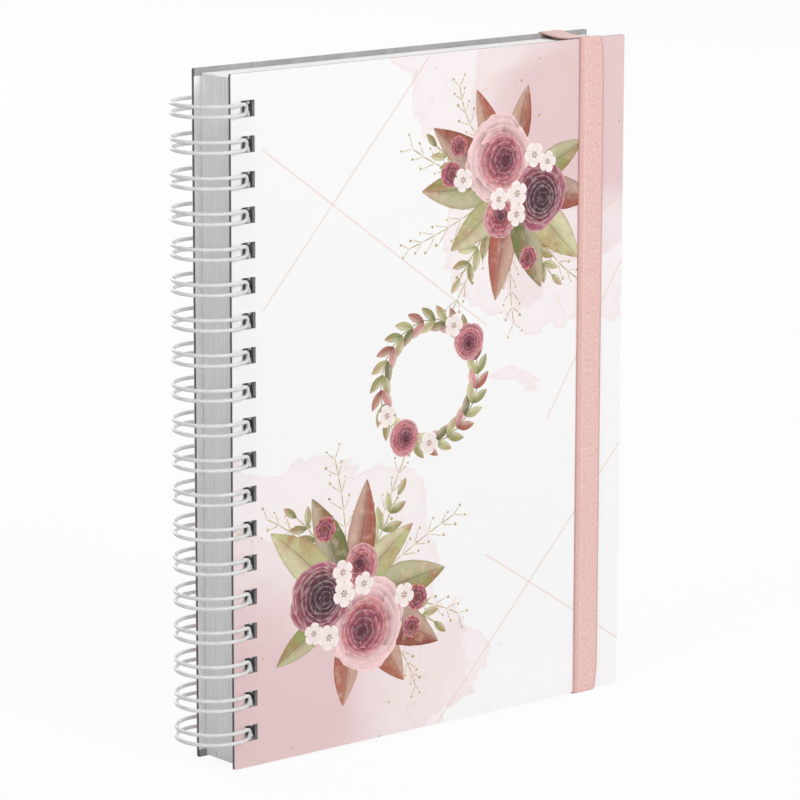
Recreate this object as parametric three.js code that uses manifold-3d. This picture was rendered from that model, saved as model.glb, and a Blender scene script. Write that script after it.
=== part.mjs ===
// Daily planner bound with a twin-loop wire, closed by an elastic band, standing on its
// bottom edge. Millimetres, +Z up, front cover towards -Y, spine towards -X and fore-edge
// towards +X. The origin is under the middle of the planner, on the surface it stands on.
import * as THREE from 'three';
import { mergeVertices } from 'three/addons/utils/BufferGeometryUtils.js';
import Module from 'manifold-3d';

// Covers: a grey board with a laminated print outside and a smaller liner inside
const coverWidth = 188;
const coverHeight = 254;
const coverCornerRadius = 0.5;
const cornerSteps = 3;
const printThickness = 0.2;
const boardThickness = 1.05;
const linerThickness = 0.15;
const glueLine = 0.05;
const linerInset = 2.8;
const bookThickness = 22.8;

// Pages: the sheets hang lower than the middle of the covers, as they do on a wire
const sectionCount = 12;
const sectionGap = 0.15;
const pageWidth = 183;
const pageTopInset = 1.9;
const pageBottomInset = 0.7;
const pageToBackLiner = 0.2;

// Punching along the spine, two holes to the inch
const holePitch = 12.7;
const holeRowEnd = 10;
const holeFromSpine = 7.44;
const holeClearanceAcross = 0.16;
const holeClearanceAlong = 0.45;

// Twin-loop wire: one wire bent into paired loops
const wireDiameter = 1.4;
const twinSpacing = 3.7;
const ringCentreOutside = 0.8;
const ringCrossingAtFace = 7.42;
const linkClearance = 0.15;
const linkBendRadius = 1.5;
const tipDepth = 0.5;
const tipReach = 3.4;
const wireSides = 6;
const loopSteps = 15;
const tipSteps = 4;
const linkBendSteps = 2;

// Elastic band: woven flat, glued into the back cover at both ends
const bandWidth = 12.2;
const bandThickness = 0.6;
const bandClearance = 0.2;
const bandFromForeEdge = 10.8;
const bandBendSteps = 4;
const anchorFromEdge = 14;
const anchorSlotClearance = 0.35;
const anchorTabLength = 15;
const anchorTabClearance = 0.1;
const slotBandSpace = 0.25;

// Points of a mesh that lie closer than this are one point
const weldDistance = 1e-5;

// Places that follow from the sizes above
const coverThickness = printThickness + boardThickness + linerThickness + 2 * glueLine;
const halfBook = bookThickness / 2;
const wireRadius = wireDiameter / 2;
const ringRadius = Math.hypot(halfBook, ringCrossingAtFace);
const linkY = -halfBook + coverThickness + linkClearance + wireRadius;
const pageFrontY = linkY + wireRadius + linkClearance;
const pageBackY = halfBook - coverThickness - pageToBackLiner;
const sectionThickness = (pageBackY - pageFrontY - (sectionCount - 1) * sectionGap) / sectionCount;
const coverBottomZ = bandThickness + bandClearance;
const coverTopZ = coverBottomZ + coverHeight;

// Angles round the ring, from +X towards +Y. The wire starts at the links behind the front
// liner, runs through the pages and round the spine, and ends in a rounded tip in the front hole.
const linkAngle = Math.asin(linkY / ringRadius);
const loopStart = linkAngle + linkBendRadius / ringRadius;
const tipAngle = 2 * Math.PI + Math.asin((-halfBook + tipDepth) / ringRadius);
const loopEnd = tipAngle - tipReach / ringRadius;
const loopStep = (loopEnd - loopStart) / loopSteps;
const loopCornerRadius = 2 * ringRadius / (1 + Math.cos(loopStep / 2));
const loopFlatRadius = loopCornerRadius * Math.cos(loopStep / 2);

// Where the wire passes the page planes, measured from the ring's centre, sets the punched
// holes: the middle page meets it furthest out, the outermost page furthest in.
const outermostPageY = Math.max(-pageFrontY, pageBackY);
const innermostCrossing = Math.sqrt(loopFlatRadius ** 2 - outermostPageY ** 2);
const slantedWireRadius = wireRadius * loopFlatRadius / innermostCrossing;
const crossingLow = innermostCrossing - slantedWireRadius;
const crossingHigh = loopCornerRadius + wireRadius;
const holeWidth = crossingHigh - crossingLow + 2 * holeClearanceAcross;
const holeHeight = twinSpacing + wireDiameter + 2 * holeClearanceAlong;
const holeCount = Math.floor((coverHeight - 2 * holeRowEnd) / holePitch) + 1;
const firstHoleZ = coverBottomZ + (coverHeight - (holeCount - 1) * holePitch) / 2;

// The ring reaches past the spine, so the covers sit a little to the right of the origin
const ringReach = ringCentreOutside + loopCornerRadius + wireRadius;
const coverLeftX = (ringReach - coverWidth) / 2;
const ringX = coverLeftX - ringCentreOutside;
const pageHoleX = ringX + (crossingLow + crossingHigh) / 2;
const pageLeftX = pageHoleX - holeFromSpine;
const bandRightX = coverLeftX + coverWidth - bandFromForeEdge;

const wasm = await Module();
wasm.setup();

const planner = new THREE.Group();

function holeZ(index) {
  return firstHoleZ + index * holePitch;
}

// A material of its own for each piece
function finish(color, roughness, metalness = 0) {
  return new THREE.MeshStandardMaterial({ color, roughness, metalness });
}

function addPiece(name, geometry, material) {
  const mesh = new THREE.Mesh(geometry, material);
  mesh.name = name;
  planner.add(mesh);
  return mesh;
}

// A rectangular hole path for a shape
function rectanglePath(x0, y0, x1, y1) {
  const path = new THREE.Path();
  path.moveTo(x0, y0);
  path.lineTo(x0, y1);
  path.lineTo(x1, y1);
  path.lineTo(x1, y0);
  path.closePath();
  return path;
}

// A sheet's outline in X and Z, with its corners rounded where a radius is given
function sheetShape(x0, z0, x1, z1, radius) {
  const shape = new THREE.Shape();
  if (radius > 0) {
    shape.moveTo(x0 + radius, z0);
    shape.absarc(x1 - radius, z0 + radius, radius, -Math.PI / 2, 0, false);
    shape.absarc(x1 - radius, z1 - radius, radius, 0, Math.PI / 2, false);
    shape.absarc(x0 + radius, z1 - radius, radius, Math.PI / 2, Math.PI, false);
    shape.absarc(x0 + radius, z0 + radius, radius, Math.PI, 1.5 * Math.PI, false);
  } else {
    shape.moveTo(x0, z0);
    shape.lineTo(x1, z0);
    shape.lineTo(x1, z1);
    shape.lineTo(x0, z1);
  }
  shape.closePath();
  return shape;
}

// The row of punched holes, centred on holeX
function punch(shape, holeX) {
  for (let i = 0; i < holeCount; i += 1) {
    const z = holeZ(i);
    shape.holes.push(rectanglePath(
      holeX - holeWidth / 2, z - holeHeight / 2, holeX + holeWidth / 2, z + holeHeight / 2));
  }
  return shape;
}

// A shape in X and Z given a thickness: it lies from local z = -thickness to 0 until standUp
// turns it, after which its front face is at frontY
function extrudeSheet(shape, thickness) {
  const options = { depth: thickness, bevelEnabled: false, curveSegments: cornerSteps };
  return new THREE.ExtrudeGeometry(shape, options).translate(0, 0, -thickness);
}

function standUp(mesh, frontY) {
  mesh.rotation.x = Math.PI / 2;
  mesh.position.y = frontY;
  return mesh;
}

// Closed solids for the cuts, and back again
function toSolid(geometry) {
  const bare = geometry.clone();
  bare.deleteAttribute('normal');
  bare.deleteAttribute('uv');
  const merged = mergeVertices(bare, weldDistance);
  return new wasm.Manifold(new wasm.Mesh({
    numProp: 3,
    vertProperties: new Float32Array(merged.attributes.position.array),
    triVerts: new Uint32Array(merged.index.array),
  }));
}

function toGeometry(solid) {
  const mesh = solid.getMesh();
  const geometry = new THREE.BufferGeometry();
  geometry.setAttribute('position', new THREE.BufferAttribute(mesh.vertProperties, 3));
  geometry.setIndex(new THREE.BufferAttribute(mesh.triVerts, 1));
  geometry.computeVertexNormals();
  return geometry;
}

// Covers
const coverHoleX = coverLeftX + holeFromSpine;
const anchorHeights = [coverBottomZ + anchorFromEdge, coverTopZ - anchorFromEdge];
const slotHeight = bandThickness + 2 * anchorSlotClearance;
const slotLeftX = bandRightX - bandWidth - slotBandSpace;
const slotRightX = bandRightX + slotBandSpace;

function coverShape() {
  const right = coverLeftX + coverWidth;
  return punch(sheetShape(coverLeftX, coverBottomZ, right, coverTopZ, coverCornerRadius), coverHoleX);
}

function linerShape() {
  const right = coverLeftX + coverWidth - linerInset;
  const low = coverBottomZ + linerInset;
  return punch(sheetShape(coverLeftX, low, right, coverTopZ - linerInset, 0), coverHoleX);
}

// The back cover's print and board are slotted where the elastic band goes in
function slottedCoverShape() {
  const shape = coverShape();
  for (const z of anchorHeights) {
    shape.holes.push(rectanglePath(slotLeftX, z - slotHeight / 2, slotRightX, z + slotHeight / 2));
  }
  return shape;
}

const frontPrintY = -halfBook;
const frontBoardY = frontPrintY + printThickness + glueLine;
const frontLinerY = frontBoardY + boardThickness + glueLine;
const backPrintY = halfBook - printThickness;
const backBoardY = backPrintY - glueLine - boardThickness;
const backLinerY = backBoardY - glueLine - linerThickness;

function buildCovers() {
  const printFront = extrudeSheet(coverShape(), printThickness);
  const boardFront = extrudeSheet(coverShape(), boardThickness);
  const liner = extrudeSheet(linerShape(), linerThickness);
  const printBack = extrudeSheet(slottedCoverShape(), printThickness);
  const boardBack = toGeometry(recessedBackBoard());
  standUp(addPiece('front_cover_print', printFront, finish('#f3ecea', 0.35)), frontPrintY);
  standUp(addPiece('front_cover_board', boardFront, finish('#77787a', 0.8)), frontBoardY);
  standUp(addPiece('front_cover_liner', liner, finish('#efefee', 0.7)), frontLinerY);
  standUp(addPiece('back_cover_liner', liner.clone(), finish('#efefee', 0.7)), backLinerY);
  standUp(addPiece('back_cover_board', boardBack, finish('#77787a', 0.8)), backBoardY);
  standUp(addPiece('back_cover_print', printBack, finish('#f3ecea', 0.35)), backPrintY);
}

// Under the back liner the board is milled out for the band's glued ends. Local z = 0 is the
// board's inner face before it is stood up.
const recessDepth = bandThickness + 2 * anchorTabClearance;

function recessedBackBoard() {
  let board = toSolid(extrudeSheet(slottedCoverShape(), boardThickness));
  for (const z of anchorHeights) {
    const inward = z > (coverBottomZ + coverTopZ) / 2 ? -1 : 1;
    const length = anchorTabLength + anchorTabClearance + slotHeight / 2;
    const box = new THREE.BoxGeometry(slotRightX - slotLeftX, length, 2 * recessDepth);
    box.translate((slotLeftX + slotRightX) / 2, z + inward * (length - slotHeight) / 2, 0);
    board = board.subtract(toSolid(box));
  }
  return board;
}

// Pages: one solid for the sheets of each month
function buildPages() {
  const pageTopZ = coverTopZ - pageTopInset;
  const pageBottomZ = coverBottomZ + pageBottomInset;
  const shape = sheetShape(pageLeftX, pageBottomZ, pageLeftX + pageWidth, pageTopZ, 0);
  const geometry = extrudeSheet(punch(shape, pageHoleX), sectionThickness);
  for (let i = 0; i < sectionCount; i += 1) {
    const name = `page_section_${String(i + 1).padStart(2, '0')}`;
    const frontY = pageFrontY + i * (sectionThickness + sectionGap);
    standUp(addPiece(name, geometry.clone(), finish('#f4f3f1', 0.75)), frontY);
  }
}

// The wire's centre line: angle, height and radius at each corner
function wireCentreLine() {
  const line = [];
  const half = twinSpacing / 2;
  const add = (angle, z, radius) => line.push({ angle, z, radius });
  for (let i = 0; i < holeCount; i += 1) {
    const z = holeZ(i);
    if (i === 0) {
      add(linkAngle, z - half, ringRadius);
    } else {
      for (let j = 0; j < linkBendSteps; j += 1) {
        const a = (Math.PI / 2) * (1 - j / linkBendSteps);
        add(loopStart - linkBendRadius / ringRadius * Math.sin(a),
          z - half - linkBendRadius * (1 - Math.cos(a)), ringRadius);
      }
    }
    for (let j = 0; j <= loopSteps; j += 1) {
      add(loopStart + j * loopStep, z - half, loopCornerRadius);
    }
    for (let j = 1; j < tipSteps; j += 1) {
      const a = Math.PI * j / tipSteps;
      add(loopEnd + tipReach / ringRadius * Math.sin(a), z - half * Math.cos(a), ringRadius);
    }
    for (let j = loopSteps; j >= 0; j -= 1) {
      add(loopStart + j * loopStep, z + half, loopCornerRadius);
    }
    if (i === holeCount - 1) {
      add(linkAngle, z + half, ringRadius);
    } else {
      for (let j = 1; j <= linkBendSteps; j += 1) {
        const a = (Math.PI / 2) * j / linkBendSteps;
        add(loopStart - linkBendRadius / ringRadius * Math.sin(a),
          z + half + linkBendRadius * (1 - Math.cos(a)), ringRadius);
      }
    }
  }
  return line.map(({ angle, z, radius }) => ({
    outward: new THREE.Vector3(Math.cos(angle), Math.sin(angle), 0),
    point: new THREE.Vector3(ringX + radius * Math.cos(angle), radius * Math.sin(angle), z),
  }));
}

// A round section carried along the centre line, closed at both ends
function sweepWire(line) {
  const positions = [];
  const index = [];
  line.forEach(({ point, outward }, i) => {
    const before = line[Math.max(i - 1, 0)].point;
    const after = line[Math.min(i + 1, line.length - 1)].point;
    const along = after.clone().sub(before);
    along.addScaledVector(outward, -along.dot(outward)).normalize();
    const side = along.clone().cross(outward);
    for (let j = 0; j < wireSides; j += 1) {
      const a = 2 * Math.PI * j / wireSides;
      const corner = point.clone();
      corner.addScaledVector(outward, wireRadius * Math.cos(a));
      corner.addScaledVector(side, wireRadius * Math.sin(a));
      positions.push(corner.x, corner.y, corner.z);
    }
  });
  for (let i = 0; i < line.length - 1; i += 1) {
    for (let j = 0; j < wireSides; j += 1) {
      const k = (j + 1) % wireSides;
      const here = i * wireSides;
      const next = here + wireSides;
      index.push(here + j, here + k, next + k, here + j, next + k, next + j);
    }
  }
  const last = (line.length - 1) * wireSides;
  for (let j = 1; j < wireSides - 1; j += 1) {
    index.push(0, j + 1, j, last, last + j, last + j + 1);
  }
  const geometry = new THREE.BufferGeometry();
  geometry.setAttribute('position', new THREE.Float32BufferAttribute(positions, 3));
  geometry.setIndex(index);
  geometry.computeVertexNormals();
  return geometry;
}

// The least gap between stretches of wire that aren't neighbours along it
function leastWireGap(line) {
  const samples = [];
  let travelled = 0;
  for (let i = 0; i < line.length - 1; i += 1) {
    const from = line[i].point;
    const length = from.distanceTo(line[i + 1].point);
    const pieces = Math.max(1, Math.round(length / wireRadius));
    for (let j = 0; j < pieces; j += 1) {
      const point = from.clone().lerp(line[i + 1].point, j / pieces);
      samples.push({ point, travelled: travelled + length * j / pieces });
    }
    travelled += length;
  }
  const apart = Math.PI * twinSpacing / 2;
  let least = Infinity;
  samples.forEach((a, i) => {
    for (let j = i + 1; j < samples.length; j += 1) {
      const b = samples[j];
      if (b.travelled - a.travelled > apart && Math.abs(b.point.z - a.point.z) < holePitch) {
        least = Math.min(least, a.point.distanceTo(b.point));
      }
    }
  });
  return least - wireDiameter;
}

function buildWire() {
  const line = wireCentreLine();
  const gap = leastWireGap(line).toFixed(2);
  console.log(`wire: ${holeCount} twin loops, least gap to itself ${gap} mm`);
  addPiece('wire_binding', sweepWire(line), finish('#f5f5f3', 0.3, 0.1));
}

// A path of straight runs in Y and Z with its corners rounded
function roundedPath(corners, radius) {
  const path = [corners[0]];
  for (let i = 1; i < corners.length - 1; i += 1) {
    const into = corners[i].clone().sub(corners[i - 1]).normalize();
    const out = corners[i + 1].clone().sub(corners[i]).normalize();
    const start = corners[i].clone().addScaledVector(into, -radius);
    for (let j = 0; j <= bandBendSteps; j += 1) {
      const a = (Math.PI / 2) * j / bandBendSteps;
      const point = start.clone().addScaledVector(into, radius * Math.sin(a));
      path.push(point.addScaledVector(out, radius * (1 - Math.cos(a))));
    }
  }
  path.push(corners[corners.length - 1]);
  return path;
}

// The band's section in Y and Z: its centre line thickened to both sides
function ribbonShape(path, thickness) {
  const offset = (side) => path.map((point, i) => {
    const before = path[Math.max(i - 1, 0)];
    const after = path[Math.min(i + 1, path.length - 1)];
    const along = after.clone().sub(before).normalize();
    return new THREE.Vector2(
      point.x - along.y * side * thickness / 2, point.y + along.x * side * thickness / 2);
  });
  return new THREE.Shape([...offset(1), ...offset(-1).reverse()]);
}

// From the upper tab through the slot, over the top edge, down the front, under the bottom
// edge and up the back to the lower tab
function buildBand() {
  const half = bandThickness / 2;
  const tabY = backBoardY + anchorTabClearance + half;
  const backY = halfBook + bandClearance + half;
  const frontY = -halfBook - bandClearance - half;
  const topZ = coverTopZ + bandClearance + half;
  const [lowSlotZ, highSlotZ] = anchorHeights;
  const corners = [
    [tabY, highSlotZ - anchorTabLength],
    [tabY, highSlotZ],
    [backY, highSlotZ],
    [backY, topZ],
    [frontY, topZ],
    [frontY, half],
    [backY, half],
    [backY, lowSlotZ],
    [tabY, lowSlotZ],
    [tabY, lowSlotZ + anchorTabLength],
  ].map(([y, z]) => new THREE.Vector2(y, z));
  // The band folds tightly: the inside of each bend is half the band's thickness
  const shape = ribbonShape(roundedPath(corners, bandThickness), bandThickness);
  const geometry = new THREE.ExtrudeGeometry(shape, { depth: bandWidth, bevelEnabled: false });
  const band = addPiece('elastic_band', geometry, finish('#edbdb8', 0.8));
  // The section's own X and Y become the planner's Y and Z
  band.rotation.set(Math.PI / 2, 0, Math.PI / 2, 'ZXY');
  band.position.x = bandRightX - bandWidth;
}

buildCovers();
buildPages();
buildWire();
buildBand();

export default planner;
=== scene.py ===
# %% [markdown]
# # A wire-bound daily planner with an elastic closure
#
# The planner stands upright on a pale floor: two printed board covers, a block of punched
# pages, a white twin-loop wire down the left side and a pink elastic band that holds it
# shut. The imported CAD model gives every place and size, so this script only dresses it:
# it keeps the solids whose shape is right and builds finer pieces for the others.

# %% Load the frame
import math
import random

import bmesh
import bpy
from mathutils import Matrix, Vector


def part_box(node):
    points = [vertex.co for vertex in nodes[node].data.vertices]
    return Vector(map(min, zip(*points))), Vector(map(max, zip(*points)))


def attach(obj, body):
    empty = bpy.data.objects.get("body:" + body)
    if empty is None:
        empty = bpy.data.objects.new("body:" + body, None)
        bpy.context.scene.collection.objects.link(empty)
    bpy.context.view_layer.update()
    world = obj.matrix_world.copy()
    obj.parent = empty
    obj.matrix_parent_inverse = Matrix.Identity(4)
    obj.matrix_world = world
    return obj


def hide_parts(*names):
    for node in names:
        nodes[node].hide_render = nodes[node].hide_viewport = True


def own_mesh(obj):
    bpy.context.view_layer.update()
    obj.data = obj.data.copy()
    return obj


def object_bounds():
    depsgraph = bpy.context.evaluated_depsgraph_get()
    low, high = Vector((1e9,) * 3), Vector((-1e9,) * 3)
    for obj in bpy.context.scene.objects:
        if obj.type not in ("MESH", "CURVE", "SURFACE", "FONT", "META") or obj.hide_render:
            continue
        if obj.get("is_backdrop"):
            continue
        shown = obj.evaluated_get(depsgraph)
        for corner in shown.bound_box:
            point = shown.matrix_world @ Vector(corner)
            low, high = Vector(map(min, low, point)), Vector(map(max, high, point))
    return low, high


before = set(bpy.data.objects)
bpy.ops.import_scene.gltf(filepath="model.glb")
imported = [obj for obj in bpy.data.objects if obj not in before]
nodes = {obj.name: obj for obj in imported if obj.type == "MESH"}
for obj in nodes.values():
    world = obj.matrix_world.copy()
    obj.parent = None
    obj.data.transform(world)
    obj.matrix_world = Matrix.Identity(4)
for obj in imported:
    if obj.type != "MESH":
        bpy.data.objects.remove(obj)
cad_box = [list(corner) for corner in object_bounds()]

# %% [markdown]
# ## Sizes that the pieces share
#
# Lengths on paper are easiest to think of in millimetres, and Blender works in metres, so
# one factor turns the first into the second. Everything that the CAD model already knows
# is measured from its nodes, not written down twice.

# %% Sizes
MM = 0.001
print_low, print_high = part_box("front_cover_print")
COVER_LEFT = print_low.x / MM
COVER_BOTTOM = print_low.z / MM
COVER_WIDTH = (print_high.x - print_low.x) / MM
COVER_HEIGHT = (print_high.z - print_low.z) / MM
FRONT_FACE = print_low.y / MM
BACK_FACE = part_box("back_cover_print")[1].y / MM
print(f"cover {COVER_WIDTH:.1f} x {COVER_HEIGHT:.1f} mm,",
      f"faces at y {FRONT_FACE:.1f} and {BACK_FACE:.1f} mm")

# %% [markdown]
# ## Shader maths as Python
#
# A material's nodes do sums on every point of a surface. Written one node at a time such
# sums are hard to read, so a small class wraps a socket: adding or comparing two wrapped
# sockets adds the Math node, and `1 - mask` works as it does on paper. Any other node
# comes from one method that takes the node's type, its settings and its inputs.


# %% The socket class
class Signal:
    """One output socket of a material's nodes, with Python's operators on it."""

    def __init__(self, tree, socket=None):
        self.tree, self.socket = tree, socket

    def node(self, kind, settings=None, inputs=None, output=0):
        """Adds any node. Several names in output give back several signals."""
        made = self.tree.nodes.new("ShaderNode" + kind)
        for name, value in (settings or {}).items():
            setattr(made, name, value)
        for name, value in (inputs or {}).items():
            if isinstance(value, Signal):
                self.tree.links.new(value.socket, made.inputs[name])
            else:
                made.inputs[name].default_value = value
        if isinstance(output, tuple):
            return tuple(Signal(self.tree, made.outputs[name]) for name in output)
        return Signal(self.tree, made.outputs[output])

    def math(self, operation, *values):
        return self.node("Math", {"operation": operation}, dict(enumerate(values)))

    def __add__(self, other):
        return self.math("ADD", self, other)

    def __radd__(self, other):
        return self.math("ADD", other, self)

    def __sub__(self, other):
        return self.math("SUBTRACT", self, other)

    def __rsub__(self, other):
        return self.math("SUBTRACT", other, self)

    def __mul__(self, other):
        return self.math("MULTIPLY", self, other)

    def __rmul__(self, other):
        return self.math("MULTIPLY", other, self)

    def __truediv__(self, other):
        return self.math("DIVIDE", self, other)

    def __lt__(self, other):
        return self.math("LESS_THAN", self, other)

    def __gt__(self, other):
        return self.math("GREATER_THAN", self, other)

    def __pow__(self, other):
        return self.math("POWER", self, other)

    def __abs__(self):
        return self.math("ABSOLUTE", self)

    def either(self, other):
        """The larger of two masks, so that both show."""
        return self.math("MAXIMUM", self, other)

    def fade(self, start, end, low=0.0, high=1.0):
        """A soft step: low before start, high after end."""
        span = {"Value": self, "From Min": start, "From Max": end, "To Min": low, "To Max": high}
        return self.node("MapRange", {"interpolation_type": "SMOOTHSTEP"}, span)

    def paint(self, under, over, how="MIX"):
        """Lays one colour over another where this mask is 1."""
        inputs = {0: self, 6: under, 7: over}
        return self.node("Mix", {"data_type": "RGBA", "blend_type": how}, inputs, 2)


# %% Colours, materials and noise
WHITE = (1, 1, 1, 1)


def srgb(red, green, blue):
    """A colour as a picture program names it, 0 to 255, as a shader's linear values.

    The numbers are those of the sRGB standard.
    """
    def linear(value):
        value /= 255
        return value / 12.92 if value <= 0.04045 else ((value + 0.055) / 1.055) ** 2.4

    return (linear(red), linear(green), linear(blue), 1.0)


def new_material(name, settings):
    """A new material, its Principled shader's fixed values set, and a signal to build on."""
    material = bpy.data.materials.new(name)
    material.use_nodes = True
    tree = material.node_tree
    for socket, value in settings.items():
        tree.nodes["Principled BSDF"].inputs[socket].default_value = value
    return material, Signal(tree)


def feed(material, **signals):
    """Links signals to the shader's sockets, such as Base_Color or Normal."""
    shader = material.node_tree.nodes["Principled BSDF"]
    for socket, signal in signals.items():
        material.node_tree.links.new(signal.socket, shader.inputs[socket.replace("_", " ")])
    print("material:", material.name, len(material.node_tree.nodes), "nodes")


def place_in_mm(start):
    """The point's x, y and z on the resting planner, in millimetres."""
    axes = start.node("SeparateXYZ", inputs={0: start.node("TexCoord", output="Object")},
                      output=(0, 1, 2))
    return tuple(axis * (1 / MM) for axis in axes)


def noise(start, place, scale, detail=3.0, roughness=0.5, distortion=0.0):
    """A cloudy value from 0 to 1 that has one full wave in about 1 / scale units."""
    inputs = {"Vector": place, "Scale": scale, "Detail": detail, "Roughness": roughness,
              "Distortion": distortion}
    return start.node("TexNoise", inputs=inputs, output="Fac")


def vector(start, x, y, z=0.0):
    return start.node("CombineXYZ", inputs={0: x, 1: y, 2: z})


def map_place(start):
    """The two coordinates of the piece's own UV map."""
    uv_map = start.node("UVMap", {"uv_map": "UVMap"})
    return start.node("SeparateXYZ", inputs={0: uv_map}, output=(0, 1))


def bump(start, strength, depth, height):
    """The tilt that a height gives the surface, for a shader's Normal; depth in millimetres."""
    inputs = {"Strength": strength, "Distance": depth * MM, "Height": height}
    return start.node("Bump", inputs=inputs)


def glaze(colour, *layers):
    """Lays layers over a colour in turn: each is a mask, a strength, a colour and a mode."""
    for mask, strength, over, *mode in layers:
        colour = (mask * strength).paint(colour, over, *mode)
    return colour


# %% [markdown]
# ## The camera
#
# The photograph was taken from the front left and a little above, with a long lens: the
# cover's far side is only slightly shorter than its near side. Azimuth, height, roll and
# distance come from fitting the cover's corners and the row of holes. The lens is so long
# that a small error in distance hardly shows.

# %% Camera
CAMERA_AZIMUTH = -39.8
CAMERA_HEIGHT_ANGLE = 11.78
CAMERA_ROLL = 0.12
CAMERA_DISTANCE = 1.5755
CAMERA_TARGET = Vector((0.0008, 0.0, 0.1248))
FOCAL_PIXELS = 4235
PICTURE_PIXELS = 800
SENSOR_WIDTH = 36
FARTHEST_SEEN = 50

camera_data = bpy.data.cameras.new("camera")
camera_data.sensor_width = SENSOR_WIDTH
camera_data.lens = FOCAL_PIXELS / PICTURE_PIXELS * SENSOR_WIDTH
camera_data.clip_end = FARTHEST_SEEN
camera = bpy.data.objects.new("camera", camera_data)
bpy.context.scene.collection.objects.link(camera)
azimuth, rise = math.radians(CAMERA_AZIMUTH), math.radians(CAMERA_HEIGHT_ANGLE)
toward_camera = Vector((math.sin(azimuth) * math.cos(rise),
                        -math.cos(azimuth) * math.cos(rise),
                        math.sin(rise)))
camera.location = CAMERA_TARGET + toward_camera * CAMERA_DISTANCE
turn = toward_camera.to_track_quat("Z", "Y").to_matrix().to_4x4()
roll = Matrix.Rotation(math.radians(CAMERA_ROLL), 4, "Z")
camera.matrix_world = Matrix.Translation(camera.location) @ turn @ roll
bpy.context.scene.camera = camera
print(f"camera at {[round(v, 3) for v in camera.location]}, lens {camera_data.lens:.1f} mm")

# %% [markdown]
# ## Floor and light
#
# A packshot has a white sweep and light from all round. The floor and the world look
# white to the camera and to mirror-like surfaces, and light the object at a plain level.
# Five large lamps give the soft shape. The ones in front and behind light the covers; the
# ones at the sides and above are weaker, because the page edges are a shade darker.

# %% Floor and world
bpy.context.scene.view_settings.view_transform = "Standard"
FLOOR_SIZE = 12.0
FLOOR_COLOUR = (0.72, 0.72, 0.72, 1)
FLOOR_GLOW = 0.93
WORLD_LIGHT = 0.30


def seen_directly(start):
    """1 for what the camera, a mirror or glass shows, 0 for light that bounces."""
    camera_ray, glossy, through = start.node(
        "LightPath", output=("Is Camera Ray", "Is Glossy Ray", "Is Transmission Ray"))
    return camera_ray.either(glossy).either(through)


floor_mesh = bpy.data.meshes.new("floor")
shape = bmesh.new()
bmesh.ops.create_grid(shape, x_segments=1, y_segments=1, size=FLOOR_SIZE / 2)
shape.to_mesh(floor_mesh)
shape.free()
floor = bpy.data.objects.new("floor", floor_mesh)
bpy.context.scene.collection.objects.link(floor)
floor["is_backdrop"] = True
floor_material, start = new_material("floor_white", {"Base Color": FLOOR_COLOUR, "Roughness": 0.9})
tree = floor_material.node_tree
lit_floor = Signal(tree, tree.nodes["Principled BSDF"].outputs[0])
glow = start.node("Emission", inputs={"Color": WHITE, "Strength": 1.0})
mixed = start.node("MixShader", inputs={0: seen_directly(start) * FLOOR_GLOW, 1: lit_floor, 2: glow})
tree.links.new(mixed.socket, tree.nodes["Material Output"].inputs["Surface"])
floor_mesh.materials.append(floor_material)

world = bpy.data.worlds.new("studio")
world.use_nodes = True
bpy.context.scene.world = world
background = world.node_tree.nodes["Background"]
direct = seen_directly(Signal(world.node_tree))
strength = direct + (1 - direct) * WORLD_LIGHT
world.node_tree.links.new(strength.socket, background.inputs["Strength"])
background.inputs["Color"].default_value = WHITE
print("floor", FLOOR_SIZE, "m wide, world light", WORLD_LIGHT)

# %% Lamps
# Each lamp's place and diameter in metres, and its power in watts
LAMPS = {
    "front_lamp": ((0.2, -2.2, 1.2), 1.2, 31.0),
    "top_lamp": ((-0.4, -0.1, 2.5), 1.2, 1.0),
    "spine_lamp": ((-1.8, -0.5, 1.7), 0.9, 15.0),
    "back_lamp": ((0.5, 2.3, 1.0), 1.4, 24.0),
    "fore_edge_lamp": ((2.4, 0.2, 0.9), 1.2, 13.0),
}
for name, (place, size, power) in LAMPS.items():
    lamp_data = bpy.data.lights.new(name, "AREA")
    lamp_data.shape, lamp_data.size, lamp_data.energy = "DISK", size, power
    lamp = bpy.data.objects.new(name, lamp_data)
    aim = (CAMERA_TARGET - Vector(place)).to_track_quat("-Z", "Y").to_matrix().to_4x4()
    lamp.matrix_world = Matrix.Translation(place) @ aim
    bpy.context.scene.collection.objects.link(lamp)
print("lamps:", ", ".join(LAMPS))

# %% [markdown]
# ## The printed covers
#
# The cover paper is printed and laminated: a satin film over a near-white ground with
# washes of dusty pink, like watercolour on wet paper. A wash has a firm, wandering edge
# where the water stopped, a slightly darker rim, and clouds inside. Noise bends the
# distance to a corner of the cover, and a soft step at a chosen distance makes the edge.
# Thin gold veins follow a second noise, and a few straight pale lines cross the sheet.

# %% Cover colours and the layers of a wash
GROUND = srgb(248, 247, 247)
FIRST_WASH = srgb(246, 236, 236)
SECOND_WASH = srgb(240, 222, 223)
DEEP_WASH = srgb(225, 192, 194)
VEIN_GOLD = srgb(222, 200, 160)
DOT_GOLD = srgb(196, 170, 116)
LINE_PINK = srgb(232, 196, 188)
# Each layer's seed, share of the reach, raggedness, soft step, strength and colour
WASH_LAYERS = ((0, 1.0, 1.5, (0.0, 0.025), 0.75, FIRST_WASH),
               (20, 0.8, 1.9, (0.0, 0.05), 0.7, SECOND_WASH),
               (40, 0.6, 1.6, (-0.1, 0.5), 0.8, DEEP_WASH))
RIM_PLACE, RIM_WIDTH, RIM_STRENGTH = 0.02, 0.03, 0.35
VEIN_SEED, VEIN_WIDTH, VEIN_STRENGTH = 7, 0.0045, 0.8
BREAK_SEED, LINE_STRENGTH = 9, 0.5
DOT_SIZE, DOTS_LEFT_OUT, DOT_STRENGTH = 0.17, 0.55, 0.85
NOISE_SPAN = 100
print("a wash has", len(WASH_LAYERS), "layers")


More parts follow.
